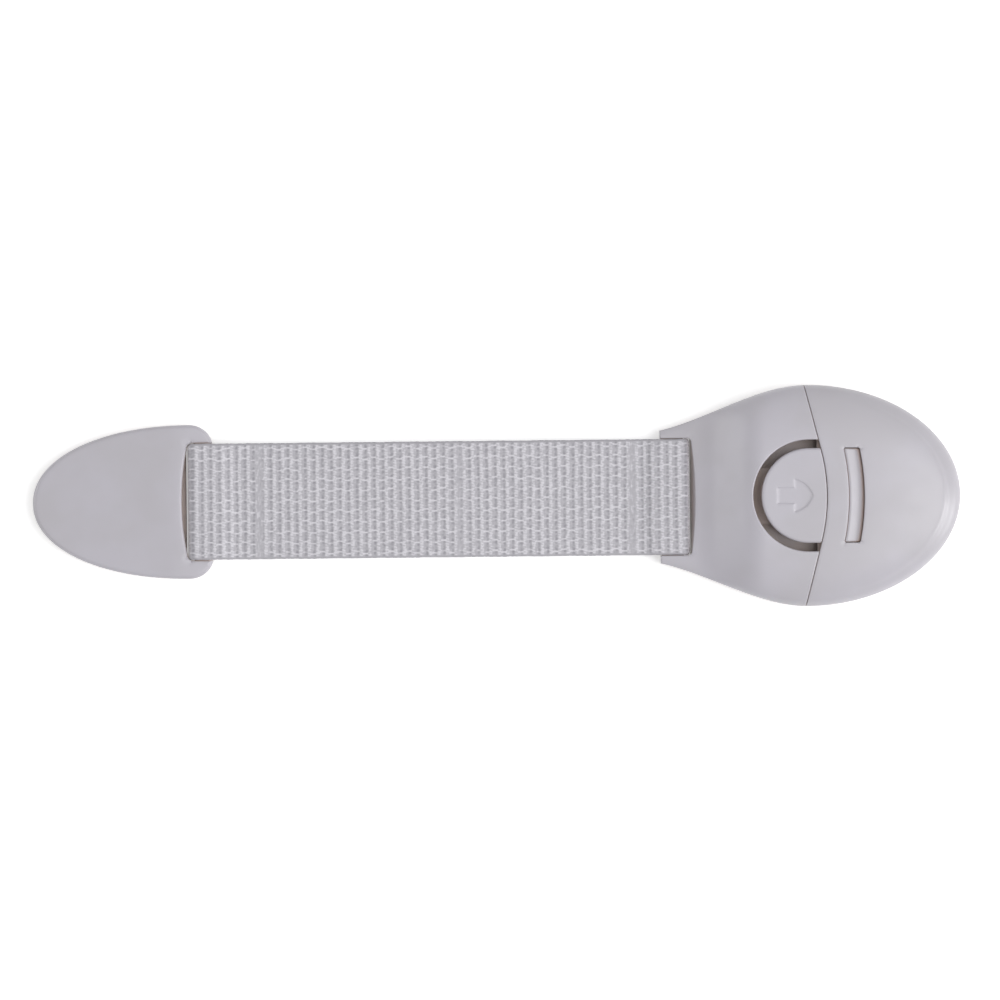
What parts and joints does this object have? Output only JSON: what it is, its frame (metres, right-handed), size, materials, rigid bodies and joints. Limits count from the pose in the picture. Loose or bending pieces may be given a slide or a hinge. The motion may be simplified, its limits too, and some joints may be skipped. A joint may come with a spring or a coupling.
{
  "type": "cabinet safety lock",
  "caption": "Stick-on cabinet strap lock: a leaf-shaped anchor pad joined by a webbing strap to an oval head, which parts along a seam when its round button is pressed.",
  "frame": {"origin": "on the furniture's face, in the middle of the whole lock", "axes": "+X from the anchor pad towards the head's nose, +Z away from the furniture"},
  "size_m": [0.2, 0.0476, 0.0122],
  "materials": {
    "white_plastic": "satin",
    "webbing": "woven",
    "foam_tape": "matte",
    "tape_liner": "matte"
  },
  "bodies": {
    "base": {"base_plate": "white_plastic", "nose_cover": "white_plastic", "base_foam_tape": "foam_tape", "base_tape_liner": "tape_liner"},
    "latch": {"latch_cover": "white_plastic", "latch_plate": "white_plastic", "strap_latch_loop": "webbing"},
    "tongue": {"release_tongue": "white_plastic"},
    "strap_8": {"strap_section_8": "webbing"},
    "strap_7": {"strap_section_7": "webbing"},
    "strap_6": {"strap_section_6": "webbing"},
    "strap_5": {"strap_section_5": "webbing"},
    "strap_4": {"strap_section_4": "webbing"},
    "strap_3": {"strap_section_3": "webbing"},
    "strap_2": {"strap_section_2": "webbing"},
    "strap_1": {"strap_section_1": "webbing"},
    "pad": {"anchor_pad": "white_plastic", "strap_pad_loop": "webbing", "pad_foam_tape": "foam_tape", "pad_tape_liner": "tape_liner"}
  },
  "joints": [
    {"name": "latch_slide", "type": "slide", "parent": "base", "child": "latch", "axis": [-1, 0, 0], "range_m": [0, 0.038], "deforming": ["release_tongue"]},
    {"name": "button_press", "type": "hinge", "parent": "latch", "child": "tongue", "pos_m": [0.05122, 0, 0.0056], "axis": [0, 1, 0], "range_deg": [0, 3.5], "stiffness_Nm_per_rad": 1.8},
    {"name": "head_flex", "type": "hinge", "parent": "latch", "child": "strap_8", "pos_m": [0.03168, 0, 0.0033], "axis": [0, -1, 0], "range_deg": [-28, 28], "stiffness_Nm_per_rad": 0.012},
    {"name": "strap_bend", "type": "hinge", "parent": "strap_8", "child": "strap_7", "pos_m": [0.02079, 0, 0.0033], "axis": [0, -1, 0], "range_deg": [-6, 18], "stiffness_Nm_per_rad": 0.012},
    {"name": "strap_bend_2", "type": "hinge", "parent": "strap_7", "child": "strap_6", "pos_m": [0.0099, 0, 0.0033], "axis": [0, -1, 0], "range_deg": [-6, 18]},
    {"name": "strap_bend_3", "type": "hinge", "parent": "strap_6", "child": "strap_5", "pos_m": [-0.00099, 0, 0.0033], "axis": [0, -1, 0], "range_deg": [-6, 18]},
    {"name": "strap_bend_4", "type": "hinge", "parent": "strap_5", "child": "strap_4", "pos_m": [-0.01188, 0, 0.0033], "axis": [0, -1, 0], "range_deg": [-6, 18]},
    {"name": "strap_bend_5", "type": "hinge", "parent": "strap_4", "child": "strap_3", "pos_m": [-0.02276, 0, 0.0033], "axis": [0, -1, 0], "range_deg": [-6, 18]},
    {"name": "strap_bend_6", "type": "hinge", "parent": "strap_3", "child": "strap_2", "pos_m": [-0.03365, 0, 0.0033], "axis": [0, -1, 0], "range_deg": [-6, 18]},
    {"name": "strap_bend_7", "type": "hinge", "parent": "strap_2", "child": "strap_1", "pos_m": [-0.04454, 0, 0.0033], "axis": [0, -1, 0], "range_deg": [-6, 18]},
    {"name": "pad_flex", "type": "hinge", "parent": "strap_1", "child": "pad", "pos_m": [-0.05543, 0, 0.0033], "axis": [0, -1, 0], "range_deg": [-28, 28], "stiffness_Nm_per_rad": 0.012}
  ],
  "couplings": [
    {"joint": "strap_bend_2", "follows": "strap_bend", "ratio": 1},
    {"joint": "strap_bend_3", "follows": "strap_bend", "ratio": 1},
    {"joint": "strap_bend_4", "follows": "strap_bend", "ratio": 1},
    {"joint": "strap_bend_5", "follows": "strap_bend", "ratio": 1},
    {"joint": "strap_bend_6", "follows": "strap_bend", "ratio": 1},
    {"joint": "strap_bend_7", "follows": "strap_bend", "ratio": 1}
  ]
}
